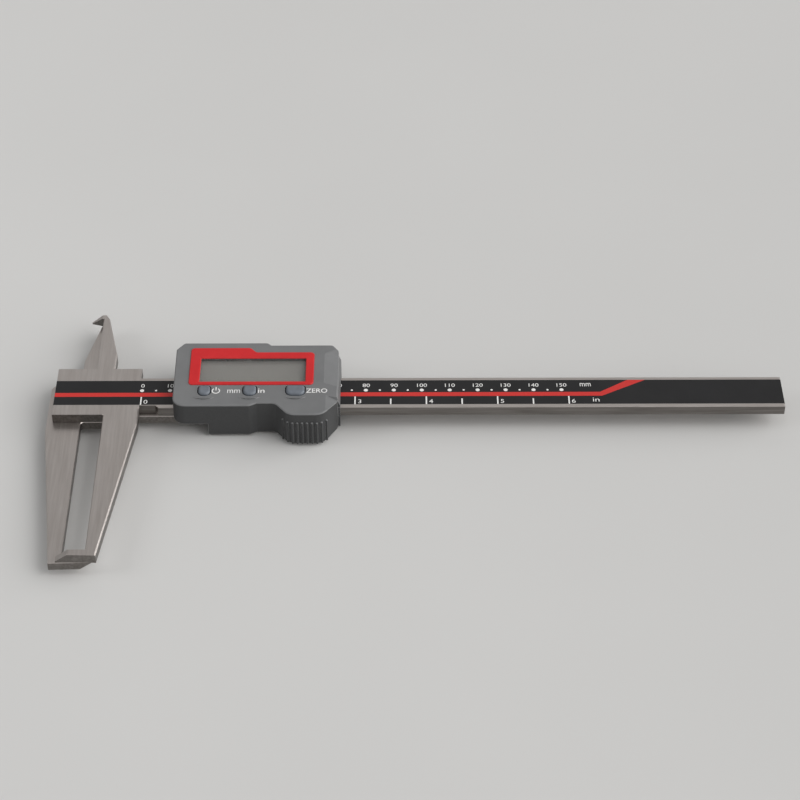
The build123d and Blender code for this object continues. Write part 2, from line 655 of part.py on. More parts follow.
with BuildPart() as housing:
    with BuildSketch(level(HOUSING_BOTTOM)):
        add(housing_face(SKIRT))
    extrude(amount=HOUSING_TOP - HOUSING_BOTTOM)
    chamfer(
        housing.faces().sort_by(Axis.Z)[-1].outer_wire().edges(), length=TOP_BEVEL, length2=TOP_BEVEL_IN,
    )
    add(ribs.part)
    with BuildSketch(across(PAD_Y[1])):
        with BuildLine():
            Polyline(*PAD_PROFILE, close=True)
        make_face()
    extrude(amount=PAD_Y[1] - PAD_Y[0])
    # The left end stops above the moving plate
    slab((0, STEP_X), (-FAR / 2, FAR / 2), (HOUSING_BOTTOM - PAST, STEP_BOTTOM), Mode.SUBTRACT)
    # Inside: deep behind the step, shallow over the beam at the left end
    with BuildSketch(level(HOUSING_BOTTOM)):
        add(housing_face(SKIRT - WALL))
        with Locations((STEP_X + WALL - FAR / 2, 0), (CAVITY_RIGHT + FAR / 2, 0)):
            Rectangle(FAR, FAR, mode=Mode.SUBTRACT)
    extrude(amount=CEILING - HOUSING_BOTTOM, mode=Mode.SUBTRACT)
    with BuildSketch(level(STEP_BOTTOM + STEP_FLOOR)):
        add(housing_face(SKIRT - WALL))
        with Locations((STEP_X + WALL + FAR / 2, 0)):
            Rectangle(FAR, FAR, mode=Mode.SUBTRACT)
    extrude(amount=CEILING - STEP_BOTTOM - STEP_FLOOR, mode=Mode.SUBTRACT)
    # Solid corner under the facets
    slab(*CORNER_FILL)
    # Way through for the beam and the moving plate
    for x_span, passage_bottom in (
        ((0, STEP_X), HOUSING_BOTTOM), ((STEP_X, STEP_X + WALL + PAST), PASSAGE_FLOOR),
        ((CAVITY_RIGHT - PAST, PAD_END + PAST), -PLATE_THICK - PASSAGE_UNDER),
    ):
        slab(x_span, (-PASSAGE_HALF, PASSAGE_HALF), (passage_bottom, PASSAGE_TOP), Mode.SUBTRACT)
    # Bosses for the screws
    upright(HOUSING_BOSSES, (HOUSING_BOTTOM, CEILING), BOSS_RADIUS)
    hole_top = HOUSING_SCREW_TIP + HOLE_SPARE
    upright(HOUSING_BOSSES, (HOUSING_BOTTOM - PAST, hole_top), COVER_SCREW[0], Mode.SUBTRACT)
    upright(BOARD_SCREWS, (BOARD_TOP, CEILING), BOARD_BOSS_RADIUS)
    hole_top = BOARD_SCREW_TIP + HOLE_SPARE
    upright(BOARD_SCREWS, (BOARD_TOP - PAST, hole_top), BOARD_SCREW[0], Mode.SUBTRACT)
    # Display opening, with a seat for the window below and for the bezel above
    slab(WINDOW_OUTER_X, WINDOW_OUTER_Y, (CEILING - PAST, WINDOW_TOP), Mode.SUBTRACT)
    slab(WINDOW_X, WINDOW_Y, (CEILING - PAST, HOUSING_TOP + PAST), Mode.SUBTRACT)
    with BuildSketch(level(BEZEL_SEAT)):
        add(bezel_face(CLEAR))
    extrude(amount=PAST, mode=Mode.SUBTRACT)
    # Button holes, each with its guard in front
    for left, width in BUTTONS.values():
        add(guard(left, width))
        with BuildSketch(level(CEILING - PAST)):
            add(button_face(left, width, BUTTON_GAP))
        extrude(amount=HOUSING_TOP - CEILING + 2 * PAST, mode=Mode.SUBTRACT)
    # Sloping facets at the right end
    for facet in FACETS:
        for x, section in facet:
            with BuildSketch(facing(x)):
                with BuildLine():
                    Polyline(*section, close=True)
                make_face()
        loft(mode=Mode.SUBTRACT)
    # Holes in the back wall for the lock screw and the cell's cap
    crosswise(((LOCK_X, LOCK_Z),), (CELL_Y[0], FAR / 2), LOCK_SHANK_RADIUS + CLEAR, Mode.SUBTRACT)
    crosswise(((CELL_X, CELL_Z),), (CELL_Y[0], FAR / 2), CAP_PLUG_RADIUS + CLEAR, Mode.SUBTRACT)
finish(housing, "housing")

# ---------------------------------------------------------------- buttons

for name, (left, width) in BUTTONS.items():
    with BuildPart() as button:
        stem_bottom = BOARD_TOP + DOME_HEIGHT + BUTTON_TRAVEL + BUTTON_SPARE
        with BuildSketch(level(stem_bottom)):
            add(button_face(left, width, 0))
        extrude(amount=BUTTON_TOP - stem_bottom)
        fillet(button.faces().sort_by(Axis.Z)[-1].edges(), BUTTON_ROUND)
        with BuildSketch(level(stem_bottom)):
            add(button_face(left, width, BUTTON_FLANGE))
        extrude(amount=CEILING - BUTTON_SPARE - stem_bottom)
    finish(button, name)

# ---------------------------------------------------------------- button cell and cap

with BuildPart() as button_cell:
    crosswise(((CELL_X, CELL_Z),), (CELL_Y[0] + CELL_STEP, CELL_Y[1]), CELL_RADIUS)
    crosswise(((CELL_X, CELL_Z),), CELL_Y, CELL_RADIUS - CELL_LIP)
    fillet(button_cell.faces().sort_by(Axis.Y)[-1].edges(), CELL_ROUND)
finish(button_cell, "button_cell")

with BuildPart() as cell_contacts:
    for block in CONTACTS:
        slab(*block)
finish(cell_contacts, "cell_contacts")

with BuildPart() as battery_cap:
    crosswise(((CELL_X, CELL_Z),), CAP_Y[:2], CAP_PLUG_RADIUS)
    crosswise(((CELL_X, CELL_Z),), CAP_Y[1:], CAP_FLANGE_RADIUS)
    chamfer(battery_cap.faces().sort_by(Axis.Y)[-1].edges(), CAP_BEVEL)
    slab(
        (CELL_X - CAP_SLOT_HALF[0], CELL_X + CAP_SLOT_HALF[0]),
        (CAP_Y[2] - CAP_SLOT_DEPTH, CAP_Y[2] + PAST),
        (CELL_Z - CAP_SLOT_HALF[1], CELL_Z + CAP_SLOT_HALF[1]), Mode.SUBTRACT,
    )
    # Groove for the seal
    crosswise(((CELL_X, CELL_Z),), SEAL_Y, CAP_PLUG_RADIUS + PAST, Mode.SUBTRACT)
    crosswise(((CELL_X, CELL_Z),), CAP_Y[:2], CAP_PLUG_RADIUS - SEAL_DEPTH)
finish(battery_cap, "battery_cap")

with BuildPart() as cap_seal:
    crosswise(((CELL_X, CELL_Z),), (SEAL_Y[0] + SEAL_FIT, SEAL_Y[1] - SEAL_FIT), CAP_PLUG_RADIUS + SEAL_FIT)
    crosswise(((CELL_X, CELL_Z),), CAP_Y[:2], CAP_PLUG_RADIUS - SEAL_DEPTH + SEAL_FIT, Mode.SUBTRACT)
    fillet(cap_seal.edges().filter_by(GeomType.CIRCLE), SEAL_ROUND)
finish(cap_seal, "cap_seal")

# ---------------------------------------------------------------- lock screw and pad

with BuildPart() as lock_screw:
    crosswise(((LOCK_X, LOCK_Z),), LOCK_HEAD, LOCK_HEAD_RADIUS)
    chamfer(lock_screw.edges().filter_by(GeomType.CIRCLE), LOCK_HEAD_BEVEL)
    for index in range(KNURL_COUNT):
        angle = 2 * math.pi * index / KNURL_COUNT
        spot = (LOCK_X + LOCK_HEAD_RADIUS * math.cos(angle), LOCK_Z + LOCK_HEAD_RADIUS * math.sin(angle))
        crosswise((spot,), (LOCK_HEAD[0] - PAST, LOCK_HEAD[1] + PAST), KNURL_RADIUS, Mode.SUBTRACT)
    crosswise(((LOCK_X, LOCK_Z),), (LOCK_SHANK_START, LOCK_HEAD[0]), LOCK_SHANK_RADIUS)
finish(lock_screw, "lock_screw")

with BuildPart() as lock_pad:
    crosswise(((LOCK_X, LOCK_Z),), LOCK_PAD_Y, PAD_RADIUS)
    chamfer(lock_pad.faces().sort_by(Axis.Y)[0].edges(), LOCK_PAD_BEVEL)
finish(lock_pad, "lock_pad")

# ---------------------------------------------------------------- rear cover and screws

COVER_BOTTOM = HOUSING_BOTTOM - COVER_THICK
COVER_SEAT = COVER_BOTTOM + HEAD_HEIGHT + HEAD_SUNK

with BuildPart() as rear_cover:
    with BuildSketch(level(COVER_BOTTOM)):
        add(housing_face(-COVER_INSET))
        with Locations((COVER_START - FAR / 2, 0)):
            Rectangle(FAR, FAR, mode=Mode.SUBTRACT)
    extrude(amount=COVER_THICK)
    chamfer(rear_cover.faces().sort_by(Axis.Z)[0].outer_wire().edges(), COVER_BEVEL)
    upright(PLATE_SCREWS, (HOUSING_BOTTOM, MOVING_BOTTOM), STANDOFF_RADIUS)
    every_screw = HOUSING_BOSSES + PLATE_SCREWS
    upright(every_screw, (COVER_BOTTOM - PAST, MOVING_BOTTOM + PAST), COVER_SCREW[0], Mode.SUBTRACT)
    upright(every_screw, (COVER_BOTTOM - PAST, COVER_SEAT), COVER_SCREW[1], Mode.SUBTRACT)
finish(rear_cover, "rear_cover")

with BuildPart() as housing_screws:
    cap_screws(HOUSING_BOSSES, COVER_SEAT, HOUSING_SCREW_TIP, COVER_SCREW, DRIVE_SLOT)
finish(housing_screws, "housing_screws")

with BuildPart() as plate_screws:
    cap_screws(PLATE_SCREWS, COVER_SEAT, PLATE_SCREW_TIP, COVER_SCREW, DRIVE_SLOT)
finish(plate_screws, "plate_screws")
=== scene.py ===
import math

import bpy
from mathutils import Matrix, Vector


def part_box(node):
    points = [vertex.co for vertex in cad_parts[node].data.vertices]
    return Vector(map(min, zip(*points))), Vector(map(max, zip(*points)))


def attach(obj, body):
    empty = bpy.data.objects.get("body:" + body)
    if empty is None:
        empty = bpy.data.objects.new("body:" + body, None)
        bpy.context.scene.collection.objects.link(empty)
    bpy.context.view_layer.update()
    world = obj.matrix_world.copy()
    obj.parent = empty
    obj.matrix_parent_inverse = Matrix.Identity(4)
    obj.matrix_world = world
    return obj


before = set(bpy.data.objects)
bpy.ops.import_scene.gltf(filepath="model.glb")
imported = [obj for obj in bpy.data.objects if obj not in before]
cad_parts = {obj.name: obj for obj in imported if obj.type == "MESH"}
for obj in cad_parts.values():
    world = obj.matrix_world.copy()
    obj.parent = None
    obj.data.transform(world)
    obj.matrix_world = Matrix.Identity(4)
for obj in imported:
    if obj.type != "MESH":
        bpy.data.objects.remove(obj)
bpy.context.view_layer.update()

# A digital caliper for inside grooves. The drawing frame is in millimetres: x from the
# scale's zero mark, y from the beam's centre line, z from the beam's printed face.
MM = 0.001
LABEL_LOW, LABEL_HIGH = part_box("scale_label")
LABEL_START = -31.0
LABEL_FRONT = -6.45
LABEL_BACK = 6.5
ORIGIN = Vector((
    LABEL_LOW.x - LABEL_START * MM, LABEL_LOW.y - LABEL_FRONT * MM, LABEL_HIGH.z,
))

# Camera: aimed at a point on the beam's face
AIM = (92.2, -4.2, 0.0)
CAMERA_DISTANCE = 0.8432
CAMERA_ELEVATION = math.radians(41.51)
CAMERA_AZIMUTH = math.radians(0.267)
CAMERA_ROLL = math.radians(-0.046)
CAMERA_LENS = 106.58
CAMERA_SENSOR = 36.0

# Display: a painted shadow darkens the panel towards its back edge, over a band, where the bezel's
# back wall shades it
DISPLAY_EDGE = 0.7
DISPLAY_SHADOW_BAND = 2.4
DISPLAY_PAINTED_SHADE = 0.62

# Printing
PRINT_THICK = 0.012
PRINT_INSET = 0.02
TEXT_DEPTH = 0.5
DIGIT_WIDEN = 1.08


def at(x, y, z):
    """A drawing point in the row frame, in metres."""
    return ORIGIN + Vector((x, y, z)) * MM


# ------------------------------------------------------------------ mesh helpers

def mesh_object(name, vertices, faces, body):
    """A mesh from drawing points, riding on a body."""
    mesh = bpy.data.meshes.new(name)
    mesh.from_pydata([at(*vertex) for vertex in vertices], [], faces)
    mesh.validate()
    piece = bpy.data.objects.new(name, mesh)
    bpy.context.scene.collection.objects.link(piece)
    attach(piece, body)
    return piece


def fit(value, low, high, span):
    """Maps a value between low and high to the same place in a span."""
    return span[0] + (value - low) / (high - low) * (span[1] - span[0])


class Printing:
    """Thin raised ink: closed prisms gathered into one mesh."""

    def __init__(self, level):
        self.level = level
        self.vertices = []
        self.faces = []

    def prism(self, outline):
        """A flat closed shape with its outline anticlockwise, one ink layer thick."""
        base = len(self.vertices)
        count = len(outline)
        for lift in (0.0, PRINT_THICK):
            self.vertices += [(x, y, self.level + lift) for x, y in outline]
        self.faces.append([base + count + i for i in range(count)])
        self.faces.append([base + i for i in reversed(range(count))])
        for i in range(count):
            j = (i + 1) % count
            self.faces.append([base + i, base + j, base + count + j, base + count + i])

    def bar(self, x, width, y_low, y_high):
        half = width / 2
        self.prism([(x - half, y_low), (x + half, y_low), (x + half, y_high), (x - half, y_high)])

    def dot(self, x, y, radius, sides=28):
        turn = 2 * math.pi / sides
        self.prism([
            (x + radius * math.cos(turn * i), y + radius * math.sin(turn * i))
            for i in range(sides)
        ])

    def arc(self, x, y, radius, width, start, end, sides=32):
        """A band of a ring, from angle start to end in degrees."""
        steps = [math.radians(start + (end - start) * i / sides) for i in range(sides + 1)]
        for a, b in zip(steps, steps[1:]):
            inner, outer = radius - width / 2, radius + width / 2
            self.prism([
                (x + inner * math.cos(a), y + inner * math.sin(a)),
                (x + outer * math.cos(a), y + outer * math.sin(a)),
                (x + outer * math.cos(b), y + outer * math.sin(b)),
                (x + inner * math.cos(b), y + inner * math.sin(b)),
            ])

    def text(self, words, x_span, y_span, bold=0.0):
        """Words stretched to fill a box.

        A number for x_span centres them on it, at their own width times DIGIT_WIDEN.
        """
        curve = bpy.data.curves.new("words", "FONT")
        curve.body = words
        curve.offset = bold
        curve.extrude = TEXT_DEPTH
        carrier = bpy.data.objects.new("words", curve)
        bpy.context.scene.collection.objects.link(carrier)
        bpy.context.view_layer.update()
        mesh = bpy.data.meshes.new_from_object(
            carrier.evaluated_get(bpy.context.evaluated_depsgraph_get())
        )
        across = [vertex.co.x for vertex in mesh.vertices]
        upward = [vertex.co.y for vertex in mesh.vertices]
        if isinstance(x_span, (int, float)):
            scale = (y_span[1] - y_span[0]) / (max(upward) - min(upward))
            half = (max(across) - min(across)) * scale * DIGIT_WIDEN / 2
            x_span = (x_span - half, x_span + half)
        base = len(self.vertices)
        for vertex in mesh.vertices:
            self.vertices.append((
                fit(vertex.co.x, min(across), max(across), x_span),
                fit(vertex.co.y, min(upward), max(upward), y_span),
                self.level + (PRINT_THICK if vertex.co.z > 0 else 0.0),
            ))
        self.faces += [[base + i for i in face.vertices] for face in mesh.polygons]
        bpy.data.objects.remove(carrier)
        bpy.data.curves.remove(curve)
        bpy.data.meshes.remove(mesh)

    def build(self, name, body, material):
        piece = mesh_object(name, self.vertices, self.faces, body)
        piece.data.materials.append(material)
        return piece


# ------------------------------------------------------------------ material helpers

# The places of the colour sockets on a mix node, which share their names with others
COLOUR_A, COLOUR_B, COLOUR_RESULT = 6, 7, 2
BEVEL_SAMPLES = 6
BLACK, WHITE = (0.0, 0.0, 0.0), (1.0, 1.0, 1.0)


class Surface:
    """A Principled material under construction."""

    def __init__(self, name, **constants):
        self.material = bpy.data.materials.new(name)
        self.material.use_nodes = True
        self.tree = self.material.node_tree
        self.shader = self.tree.nodes["Principled BSDF"]
        self.place = self.add("ShaderNodeTexCoord").outputs["Object"]
        for socket, value in constants.items():
            self.shader.inputs[socket.replace("_", " ")].default_value = value

    def add(self, kind, **settings):
        node = self.tree.nodes.new(kind)
        for key, value in settings.items():
            setattr(node, key, value)
        return node

    def link(self, source, target):
        self.tree.links.new(source, target)

    def noise(self, size, detail=3.0, rough=0.55, stretch=(1, 1, 1), seed=0.0):
        """Noise with features about size millimetres across, longer along an axis by stretch."""
        mapping = self.add("ShaderNodeMapping")
        mapping.inputs["Scale"].default_value = [1.0 / (size * MM * s) for s in stretch]
        mapping.inputs["Location"].default_value = (seed, seed * 1.7, seed * 0.6)
        self.link(self.place, mapping.inputs["Vector"])
        node = self.add("ShaderNodeTexNoise")
        node.inputs["Scale"].default_value = 1.0
        node.inputs["Detail"].default_value = detail
        node.inputs["Roughness"].default_value = rough
        self.link(mapping.outputs["Vector"], node.inputs["Vector"])
        return node.outputs["Fac"]

    def ramp(self, factor, dark, light, start=0.3, end=0.7):
        """Goes from a dark to a light colour as a factor goes from start to end."""
        node = self.add("ShaderNodeValToRGB")
        for element, place, colour in zip(
            node.color_ramp.elements, (start, end), (dark, light)
        ):
            element.position = place
            element.color = (*colour, 1)
        self.link(factor, node.inputs["Fac"])
        return node.outputs["Color"]

    def span(self, factor, low, high, start=0.3, end=0.7):
        """Maps a noise factor to values between low and high."""
        node = self.add("ShaderNodeMapRange")
        limits = {"From Min": start, "From Max": end, "To Min": low, "To Max": high}
        for socket, value in limits.items():
            node.inputs[socket].default_value = value
        self.link(factor, node.inputs["Value"])
        return node.outputs["Result"]

    def pair(self, kind, first, second):
        """A mix node between two colour outputs."""
        node = self.add("ShaderNodeMix", data_type="RGBA", blend_type=kind)
        self.link(first, node.inputs[COLOUR_A])
        self.link(second, node.inputs[COLOUR_B])
        return node

    def blend(self, factor, first, second):
        """Goes from the first colour output to the second with a factor output."""
        node = self.pair("MIX", first, second)
        self.link(factor, node.inputs["Factor"])
        return node.outputs[COLOUR_RESULT]

    def times(self, first, second):
        """Multiplies two colour outputs."""
        node = self.pair("MULTIPLY", first, second)
        node.inputs["Factor"].default_value = 1.0
        return node.outputs[COLOUR_RESULT]

    def maths(self, operation, output, value=0.0):
        node = self.add("ShaderNodeMath", operation=operation)
        self.link(output, node.inputs[0])
        node.inputs[1].default_value = value
        return node.outputs[0]

    def rounded(self, radius):
        """The normal with every edge rounded over by radius millimetres."""
        node = self.add("ShaderNodeBevel", samples=BEVEL_SAMPLES)
        node.inputs["Radius"].default_value = radius * MM
        return node.outputs["Normal"]

    def edges(self, radius):
        """About 1 on convex and concave edges within radius millimetres, 0 on flats."""
        geometry = self.add("ShaderNodeNewGeometry")
        dot = self.add("ShaderNodeVectorMath", operation="DOT_PRODUCT")
        self.link(self.rounded(radius), dot.inputs[0])
        self.link(geometry.outputs["Normal"], dot.inputs[1])
        return self.span(dot.outputs["Value"], 1.0, 0.0, 0.75, 0.99)

    def upright(self):
        """1 on faces that stand upright, 0 on level and bevelled ones."""
        geometry = self.add("ShaderNodeNewGeometry")
        parts = self.add("ShaderNodeSeparateXYZ")
        self.link(geometry.outputs["Normal"], parts.inputs["Vector"])
        tilt = self.maths("ABSOLUTE", parts.outputs["Z"])
        return self.span(tilt, 1.0, 0.0, 0.25, 0.45)

    def colour(self, output):
        self.link(output, self.shader.inputs["Base Color"])

    def roughness(self, output):
        self.link(output, self.shader.inputs["Roughness"])

    def bump(self, heights, round_edges=0.0):
        """Stacks bumps of (factor, depth in millimetres, strength)."""
        normal = self.rounded(round_edges) if round_edges else None
        for factor, depth, strength in heights:
            node = self.add("ShaderNodeBump")
            node.inputs["Distance"].default_value = depth * MM
            node.inputs["Strength"].default_value = strength
            self.link(factor, node.inputs["Height"])
            if normal:
                self.link(normal, node.inputs["Normal"])
            normal = node.outputs["Normal"]
        self.link(normal, self.shader.inputs["Normal"])


# Edges are shaded as if rounded over
EDGE_ROUND = 0.12

# Ground steel: the lines are drawn out along one axis, and the upright walls carry a painted shade,
# darker than the ground faces
FINE_STRETCH, BROAD_STRETCH = 60, 25
STEEL_ROUGH = (0.3, 0.42)
SHADED_WALL_DARK, SHADED_WALL_LIGHT = (0.15, 0.138, 0.128), (0.25, 0.235, 0.222)

# Moulded plastic: the upright walls carry a painted shade, darker than the top, and the edges are
# lighter, part wear and part painted highlight
SHADED_WALL_LOW, SHADED_WALL_HIGH = 0.26, 0.34
EDGE_WEAR_HIGHLIGHT_LOW = 0.94
EDGE_WEAR_HIGHLIGHT_WIDTH = 0.35


def scaled(colour, factor):
    return tuple(part * factor for part in colour)


def ground_lines(surface, axis):
    """Fine and broad noise, both drawn out along an axis, "x" or "y"."""
    def stretch(length):
        return (length, 1, 1) if axis == "x" else (1, length, 1)
    fine = surface.noise(0.16, 4.0, 0.7, stretch(FINE_STRETCH))
    broad = surface.noise(0.9, 3.0, 0.6, stretch(BROAD_STRETCH), 3.1)
    return fine, broad


def ground_steel(name, dark, light, along="y", head_end=None):
    """Ground stainless steel with fine lines along one axis, or x beyond head_end, and painted
    shade on the upright walls.
    """
    surface = Surface(name, Metallic=1.0)
    fine, broad = ground_lines(surface, along)
    if head_end is not None:
        split = surface.add("ShaderNodeSeparateXYZ")
        surface.link(surface.place, split.inputs["Vector"])
        beyond = surface.maths("GREATER_THAN", split.outputs["X"], head_end)
        fine_x, broad_x = ground_lines(surface, "x")
        fine = surface.blend(beyond, fine, fine_x)
        broad = surface.blend(beyond, broad, broad_x)
    cloud = surface.noise(14.0, 2.0, 0.5, seed=7.7)
    base = surface.ramp(broad, dark, light)
    streak = surface.ramp(fine, (0.86, 0.86, 0.86), WHITE)
    shade = surface.ramp(cloud, (0.95, 0.945, 0.94), WHITE)
    tone = surface.times(surface.times(base, streak), shade)
    # Painted shade: the upright walls are darkened as if in shadow
    steel_wall_shade = surface.ramp(broad, SHADED_WALL_DARK, SHADED_WALL_LIGHT)
    surface.colour(surface.blend(surface.upright(), tone, steel_wall_shade))
    surface.roughness(surface.span(fine, *STEEL_ROUGH))
    surface.bump([(broad, 0.0025, 0.6), (fine, 0.0015, 0.7)], EDGE_ROUND)
    return surface.material


def moulded_plastic(name, dark, light, rough=(0.42, 0.56), wear_and_highlight=None):
    """Moulded plastic with a fine spark texture; given an edge colour, painted shade on the upright
    walls and lighter edges, part wear and part painted highlight.
    """
    surface = Surface(name, Specular_IOR_Level=0.3)
    cloud = surface.noise(9.0, 3.0, 0.55)
    grain = surface.noise(0.22, 3.0, 0.6, seed=2.3)
    tone = surface.ramp(cloud, dark, light)
    speck = surface.ramp(grain, (0.93, 0.93, 0.93), WHITE, 0.32, 0.68)
    tone = surface.times(tone, speck)
    if wear_and_highlight:
        # Painted shade: the upright walls are darkened as if in shadow
        plastic_wall_shade = surface.ramp(grain, scaled(dark, SHADED_WALL_LOW), scaled(light, SHADED_WALL_HIGH))
        # Lighter edges: part wear, part painted highlight
        edge_wear_highlight = surface.ramp(grain, scaled(wear_and_highlight, EDGE_WEAR_HIGHLIGHT_LOW), wear_and_highlight)
        tone = surface.blend(surface.upright(), tone, plastic_wall_shade)
        tone = surface.blend(surface.edges(EDGE_WEAR_HIGHLIGHT_WIDTH), tone, edge_wear_highlight)
    surface.colour(tone)
    surface.roughness(surface.span(grain, *rough))
    surface.bump([(grain, 0.012, 0.55), (cloud, 0.02, 0.15)], EDGE_ROUND)
    return surface.material


def red_paint():
    """Satin red paint with a faint orange peel; the edges are lighter, part worn thin and part
    painted highlight.
    """
    surface = Surface("red_paint", Specular_IOR_Level=0.3)
    cloud = surface.noise(6.0, 2.0, 0.5)
    peel = surface.noise(0.35, 2.0, 0.5, seed=5.0)
    tone = surface.ramp(cloud, (0.59, 0.018, 0.022), (0.66, 0.022, 0.026))
    edge_wear_highlight = surface.ramp(peel, (0.68, 0.13, 0.13), (0.73, 0.16, 0.16))
    # Lighter edges: part thinner paint, part painted highlight
    surface.colour(surface.blend(surface.edges(0.2), tone, edge_wear_highlight))
    surface.roughness(surface.span(peel, 0.36, 0.46))
    surface.bump([(peel, 0.008, 0.4)], EDGE_ROUND)
    return surface.material


def printed_film():
    """Black printed film over the grating, slightly uneven."""
    surface = Surface("printed_film", Specular_IOR_Level=0.3)
    cloud = surface.noise(12.0, 3.0, 0.55)
    fine = surface.noise(0.3, 3.0, 0.6, (8, 1, 1), 4.0)
    dark, light = (0.0135, 0.0135, 0.0145), (0.018, 0.018, 0.0195)
    surface.colour(surface.ramp(cloud, dark, light))
    surface.roughness(surface.span(fine, 0.34, 0.44))
    surface.bump([(fine, 0.002, 0.4), (cloud, 0.01, 0.2)])
    return surface.material


def ink(name, dark, light):
    """Screen-printed ink with small changes of cover."""
    surface = Surface(name)
    grain = surface.noise(0.18, 3.0, 0.6, seed=1.2)
    surface.colour(surface.ramp(grain, dark, light))
    surface.roughness(surface.span(grain, 0.4, 0.52))
    surface.bump([(grain, 0.003, 0.4)])
    return surface.material


def soft_key():
    """Blue-grey moulded rubber of the keys."""
    surface = Surface("soft_key", Specular_IOR_Level=0.4)
    cloud = surface.noise(2.5, 2.0, 0.5)
    grain = surface.noise(0.15, 3.0, 0.6, seed=3.0)
    dark, light = (0.145, 0.163, 0.192), (0.175, 0.198, 0.230)
    surface.colour(surface.ramp(cloud, dark, light))
    surface.roughness(surface.span(grain, 0.38, 0.5))
    surface.bump([(grain, 0.006, 0.5)], 0.2)
    return surface.material


def display_glass():
    """Segment display, switched off: grey-green with a faint polariser grain, and a painted shadow
    along its back edge.
    """
    surface = Surface("display_glass", Specular_IOR_Level=0.35)
    cloud = surface.noise(18.0, 2.0, 0.5)
    grain = surface.noise(0.12, 2.0, 0.5, (1, 30, 1), 2.0)
    tone = surface.ramp(cloud, (0.185, 0.182, 0.166), (0.215, 0.21, 0.192))
    film = surface.ramp(grain, (0.97, 0.97, 0.97), WHITE)
    tone = surface.times(tone, film)
    # Painted shadow: darker towards the panel's back edge, under the bezel's back wall
    parts = surface.add("ShaderNodeSeparateXYZ")
    surface.link(surface.place, parts.inputs["Vector"])
    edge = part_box("lcd_panel")[1].y - DISPLAY_EDGE * MM
    shade = surface.span(parts.outputs["Y"], 1.0, DISPLAY_PAINTED_SHADE, edge - DISPLAY_SHADOW_BAND * MM, edge)
    painted_shadow = surface.ramp(shade, BLACK, WHITE, 0.0, 1.0)
    surface.colour(surface.times(tone, painted_shadow))
    surface.roughness(surface.span(cloud, 0.3, 0.38))
    surface.bump([(grain, 0.001, 0.3)])
    return surface.material


def clear_window():
    """Clear window with a fine hard coat, mostly see-through."""
    surface = Surface("clear_window", Alpha=0.16, IOR=1.49, Specular_IOR_Level=0.6)
    haze = surface.noise(7.0, 3.0, 0.6)
    scratch = surface.noise(0.2, 3.0, 0.6, (20, 1, 1), 6.0)
    surface.colour(surface.ramp(haze, (0.42, 0.42, 0.41), (0.47, 0.47, 0.455)))
    surface.roughness(surface.span(scratch, 0.06, 0.12))
    surface.bump([(scratch, 0.0004, 0.08)])
    surface.material.blend_method = "BLEND"
    return surface.material


def plated(name, dark, light, rough=(0.2, 0.32)):
    """Plated or bright metal with slight tarnish."""
    surface = Surface(name, Metallic=1.0)
    cloud = surface.noise(2.5, 3.0, 0.55)
    fine = surface.noise(0.15, 3.0, 0.6, seed=4.0)
    surface.colour(surface.ramp(cloud, dark, light))
    surface.roughness(surface.span(fine, *rough))
    surface.bump([(fine, 0.002, 0.5)], 0.08)
    return surface.material


def board_laminate(name, dark, light):
    """Circuit laminate: lacquer over a woven base."""
    surface = Surface(name, Coat_Weight=0.4, Coat_Roughness=0.2)
    weave = surface.add("ShaderNodeTexBrick")
    weave.inputs["Scale"].default_value = 900.0
    surface.link(surface.place, weave.inputs["Vector"])
    cloud = surface.noise(5.0, 2.0, 0.5)
    surface.colour(surface.ramp(cloud, dark, light))
    surface.roughness(surface.span(cloud, 0.35, 0.5))
    surface.bump([(weave.outputs["Fac"], 0.01, 0.3)])
    return surface.material


# ------------------------------------------------------------------ materials on CAD nodes

HEAD_END = at(-0.8, 0, 0).x
STEEL_DARK, STEEL_LIGHT = (0.60, 0.555, 0.53), (0.69, 0.645, 0.62)
RESIN_DARK, RESIN_LIGHT = (0.012, 0.012, 0.013), (0.018, 0.018, 0.019)

FINISHES = {
    "beam": ground_steel("beam_steel", STEEL_DARK, STEEL_LIGHT, head_end=HEAD_END),
    "moving_jaw": ground_steel("jaw_steel", STEEL_DARK, STEEL_LIGHT),
    "rear_cover": ground_steel("cover_steel", (0.46, 0.45, 0.44), (0.53, 0.52, 0.51), "x"),
    "rails": ground_steel("rail_steel", (0.42, 0.41, 0.40), (0.5, 0.49, 0.48), "x"),
    "housing": moulded_plastic(
        "housing_plastic", (0.184, 0.188, 0.193), (0.208, 0.212, 0.217), wear_and_highlight=(0.40, 0.405, 0.41)),
    "cap": moulded_plastic(
        "cap_plastic", (0.10, 0.105, 0.11), (0.118, 0.124, 0.13), wear_and_highlight=(0.16, 0.165, 0.17)),
    "chip": moulded_plastic("chip_resin", RESIN_DARK, RESIN_LIGHT),
    "seal": moulded_plastic("seal_rubber", RESIN_DARK, RESIN_LIGHT, (0.5, 0.62)),
    "elastomer": moulded_plastic(
        "strip_elastomer", (0.42, 0.10, 0.15), (0.48, 0.13, 0.18), (0.5, 0.6)),
    "bezel": red_paint(),
    "film": printed_film(),
    "key": soft_key(),
    "display": display_glass(),
    "window": clear_window(),
    "screw": plated("screw_steel", (0.36, 0.36, 0.37), (0.44, 0.44, 0.45)),
    "bronze": plated("spring_bronze", (0.52, 0.33, 0.13), (0.62, 0.41, 0.18)),
    "nickel": plated("nickel_plate", (0.60, 0.585, 0.555), (0.68, 0.665, 0.64), (0.18, 0.28)),
    "can": plated("cell_can", (0.62, 0.62, 0.62), (0.70, 0.70, 0.70)),
    "board": board_laminate("board_laminate", (0.010, 0.10, 0.04), (0.016, 0.13, 0.055)),
    "grating": board_laminate("grating_laminate", (0.30, 0.20, 0.08), (0.36, 0.25, 0.10)),
}

